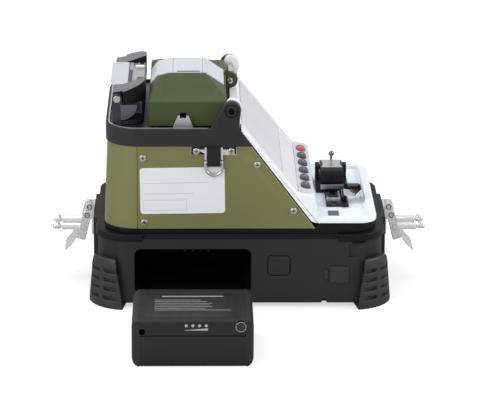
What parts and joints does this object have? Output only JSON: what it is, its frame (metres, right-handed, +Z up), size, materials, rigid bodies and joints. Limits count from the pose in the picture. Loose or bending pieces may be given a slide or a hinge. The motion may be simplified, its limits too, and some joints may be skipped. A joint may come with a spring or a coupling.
{
  "type": "fiber fusion splicer",
  "caption": "Portable fibre fusion splicer on a black carrying base: hinged wind cover, tube heater, sloped screen with oval keys, cleaver on the deck, draw latches and a drawn-out battery.",
  "frame": {"origin": "on the table under the centre of the whole set's box, machine and drawn-out battery together", "axes": "+Z up, +X along the machine to the operator's end with the screen and deck, +Y across the machine away from the battery"},
  "size_m": [0.2854, 0.2808, 0.1683],
  "materials": {
    "base_plastic": "moulded, fine spark texture",
    "bumper_rubber": "matt rubber",
    "contact_brass": "plated contacts in a moulded block",
    "socket_steel": "stamped shell",
    "seal_rubber": "soft rubber",
    "skirt_plastic": "moulded",
    "frame_alloy": "black anodised",
    "olive_panel": "olive metallic coat",
    "screw_steel": "nickel plated",
    "charcoal_rim": "charcoal coat",
    "black_steel": "black oxide",
    "deck_alloy": "dark anodised",
    "silver_paint": "silver-white coat",
    "deck_silver": "silver coat",
    "screen_glass": "clear cover glass",
    "display": "display panel",
    "key_strip": "satin membrane",
    "circuit_board": "solder mask",
    "key_grey": "soft-touch key",
    "key_red": "soft-touch key",
    "clip_steel": "stamped steel",
    "ring_steel": "bent wire",
    "cover_green": "dark green metallic coat",
    "strip_silver": "satin anodised",
    "hinge_steel": "machined",
    "guide_alloy": "satin",
    "block_alloy": "grey anodised",
    "ceramic": "zirconia",
    "electrode_holder": "holder with pointed rod",
    "clamp_alloy": "satin",
    "lens_barrel": "black anodised",
    "motor_steel": "plated can",
    "heater_grey": "dark blue-grey",
    "trough_alloy": "bright",
    "lid_grey": "grey coat",
    "plate_white": "white plate",
    "latch_steel": "stainless",
    "cleaver_black": "black anodised",
    "flap_chrome": "bright plated",
    "battery_plastic": "moulded",
    "cell_wrap": "shrink sleeve",
    "button_plastic": "moulded"
  },
  "bodies": {
    "machine": {"base_tray": "base_plastic", "corner_bumpers": "bumper_rubber", "battery_contacts": "contact_brass", "usb_socket": "socket_steel", "lower_skirt": "skirt_plastic", "body_frame": "frame_alloy", "rear_wrap": "olive_panel", "side_panel_near": "olive_panel", "side_panel_far": "olive_panel", "panel_screws": "screw_steel", "top_rim": "charcoal_rim", "ear_bolts": "black_steel", "top_deck": "deck_alloy", "screen_bezel": "silver_paint", "front_deck": "deck_silver", "screen_glass": "screen_glass", "lcd_module": "display", "keypad_strip": "key_strip", "keypad_board": "circuit_board", "strap_clips": "clip_steel", "cover_hinge": "hinge_steel", "fibre_guides": "guide_alloy", "splice_block": "block_alloy", "vgroove_blocks": "ceramic", "electrodes": "electrode_holder", "objective_lenses": "lens_barrel", "feed_motors": "motor_steel", "main_board": "circuit_board", "heater_base": "heater_grey", "heater_trough": "trough_alloy", "latch_bracket_front": "latch_steel", "latch_bracket_rear": "latch_steel", "cleaver_base": "cleaver_black"},
    "wind_cover": {"wind_cover": "cover_green", "wind_cover_strip": "strip_silver"},
    "heater_lid": {"heater_lid": "lid_grey", "heater_lid_plate": "plate_white"},
    "port_cover": {"port_cover": "seal_rubber"},
    "release_button": {"release_button": "button_plastic"},
    "key_1": {"key_1": "key_grey"},
    "key_2": {"key_2": "key_grey"},
    "key_3": {"key_3": "key_grey"},
    "key_4": {"key_4": "key_grey"},
    "key_5": {"key_5": "key_grey"},
    "key_6": {"key_6": "key_red"},
    "strap_ring_near": {"strap_ring_near": "ring_steel"},
    "strap_ring_far": {"strap_ring_far": "ring_steel"},
    "fibre_clamp_near": {"fibre_clamp_near": "clamp_alloy"},
    "fibre_clamp_far": {"fibre_clamp_far": "clamp_alloy"},
    "latch_lever_front": {"latch_lever_front": "latch_steel"},
    "latch_lever_rear": {"latch_lever_rear": "latch_steel"},
    "latch_hook_front": {"latch_hook_front": "latch_steel"},
    "latch_hook_rear": {"latch_hook_rear": "latch_steel"},
    "cleaver_arm": {"cleaver_arm": "cleaver_black"},
    "cleaver_carriage": {"cleaver_carriage": "cleaver_black"},
    "cleaver_flap": {"cleaver_flap": "flap_chrome"},
    "battery": {"battery_lower": "battery_plastic", "battery_upper": "battery_plastic", "battery_cells": "cell_wrap"},
    "battery_button": {"battery_button": "button_plastic"}
  },
  "joints": [
    {"name": "wind_cover_hinge", "type": "hinge", "parent": "machine", "child": "wind_cover", "pos_m": [-0.007, 0.05994, 0.1517], "axis": [0, 1, 0], "range_deg": [0, 95]},
    {"name": "heater_lid_hinge", "type": "hinge", "parent": "machine", "child": "heater_lid", "pos_m": [-0.0913, 0.05994, 0.1565], "axis": [0, -1, 0], "range_deg": [0, 95]},
    {"name": "port_cover_hinge", "type": "hinge", "parent": "machine", "child": "port_cover", "pos_m": [0.067, -0.01431, 0.0258], "axis": [0, 0, -1], "range_deg": [0, 100]},
    {"name": "release_button_press", "type": "slide", "parent": "machine", "child": "release_button", "axis": [0, 1, 0], "range_m": [0, 0.003], "stiffness_N_per_m": 300},
    {"name": "key_1_press", "type": "slide", "parent": "machine", "child": "key_1", "axis": [-0.1977, 0, -0.9803], "range_m": [0, 0.0008], "stiffness_N_per_m": 400},
    {"name": "key_2_press", "type": "slide", "parent": "machine", "child": "key_2", "axis": [-0.1977, 0, -0.9803], "range_m": [0, 0.0008], "stiffness_N_per_m": 400},
    {"name": "key_3_press", "type": "slide", "parent": "machine", "child": "key_3", "axis": [-0.1977, 0, -0.9803], "range_m": [0, 0.0008], "stiffness_N_per_m": 400},
    {"name": "key_4_press", "type": "slide", "parent": "machine", "child": "key_4", "axis": [-0.1977, 0, -0.9803], "range_m": [0, 0.0008], "stiffness_N_per_m": 400},
    {"name": "key_5_press", "type": "slide", "parent": "machine", "child": "key_5", "axis": [-0.1977, 0, -0.9803], "range_m": [0, 0.0008], "stiffness_N_per_m": 400},
    {"name": "key_6_press", "type": "slide", "parent": "machine", "child": "key_6", "axis": [-0.1977, 0, -0.9803], "range_m": [0, 0.0008], "stiffness_N_per_m": 400},
    {"name": "strap_ring_near_swing", "type": "hinge", "parent": "machine", "child": "strap_ring_near", "pos_m": [-0.0199, -0.01546, 0.1133], "axis": [-1, 0, 0], "range_deg": [0, 100]},
    {"name": "strap_ring_far_swing", "type": "hinge", "parent": "machine", "child": "strap_ring_far", "pos_m": [-0.0199, 0.13534, 0.1133], "axis": [1, 0, 0], "range_deg": [0, 100]},
    {"name": "fibre_clamp_near_lift", "type": "hinge", "parent": "machine", "child": "fibre_clamp_near", "pos_m": [-0.0534, 0.04394, 0.1465], "axis": [0, -1, 0], "range_deg": [0, 40]},
    {"name": "fibre_clamp_far_lift", "type": "hinge", "parent": "machine", "child": "fibre_clamp_far", "pos_m": [-0.0534, 0.07594, 0.1465], "axis": [0, -1, 0], "range_deg": [0, 40]},
    {"name": "latch_lever_front_swing", "type": "hinge", "parent": "machine", "child": "latch_lever_front", "pos_m": [0.116, 0.05994, 0.054], "axis": [0, -1, 0], "range_deg": [0, 90]},
    {"name": "latch_lever_rear_swing", "type": "hinge", "parent": "machine", "child": "latch_lever_rear", "pos_m": [-0.116, 0.05994, 0.054], "axis": [0, 1, 0], "range_deg": [0, 90]},
    {"name": "latch_hook_front_swing", "type": "hinge", "parent": "latch_lever_front", "child": "latch_hook_front", "pos_m": [0.11866, 0.05994, 0.04333], "axis": [0, -1, 0], "range_deg": [0, 50]},
    {"name": "latch_hook_rear_swing", "type": "hinge", "parent": "latch_lever_rear", "child": "latch_hook_rear", "pos_m": [-0.11866, 0.05994, 0.04333], "axis": [0, 1, 0], "range_deg": [0, 50]},
    {"name": "cleaver_arm_lift", "type": "hinge", "parent": "machine", "child": "cleaver_arm", "pos_m": [0.0713, 0.08694, 0.0798], "axis": [-1, 0, 0], "range_deg": [0, 60]},
    {"name": "cleaver_carriage_slide", "type": "slide", "parent": "machine", "child": "cleaver_carriage", "axis": [-1, 0, 0], "range_m": [0, 0.006]},
    {"name": "cleaver_flap_swing", "type": "hinge", "parent": "machine", "child": "cleaver_flap", "pos_m": [0.0793, 0.04344, 0.071], "axis": [0, -1, 0], "range_deg": [0, 100]},
    {"name": "battery_slide", "type": "slide", "parent": "machine", "child": "battery", "axis": [0, 1, 0], "range_m": [-0.06, 0.047]},
    {"name": "battery_button_press", "type": "slide", "parent": "battery", "child": "battery_button", "axis": [0, 1, 0], "range_m": [0, 0.0006], "stiffness_N_per_m": 400}
  ]
}
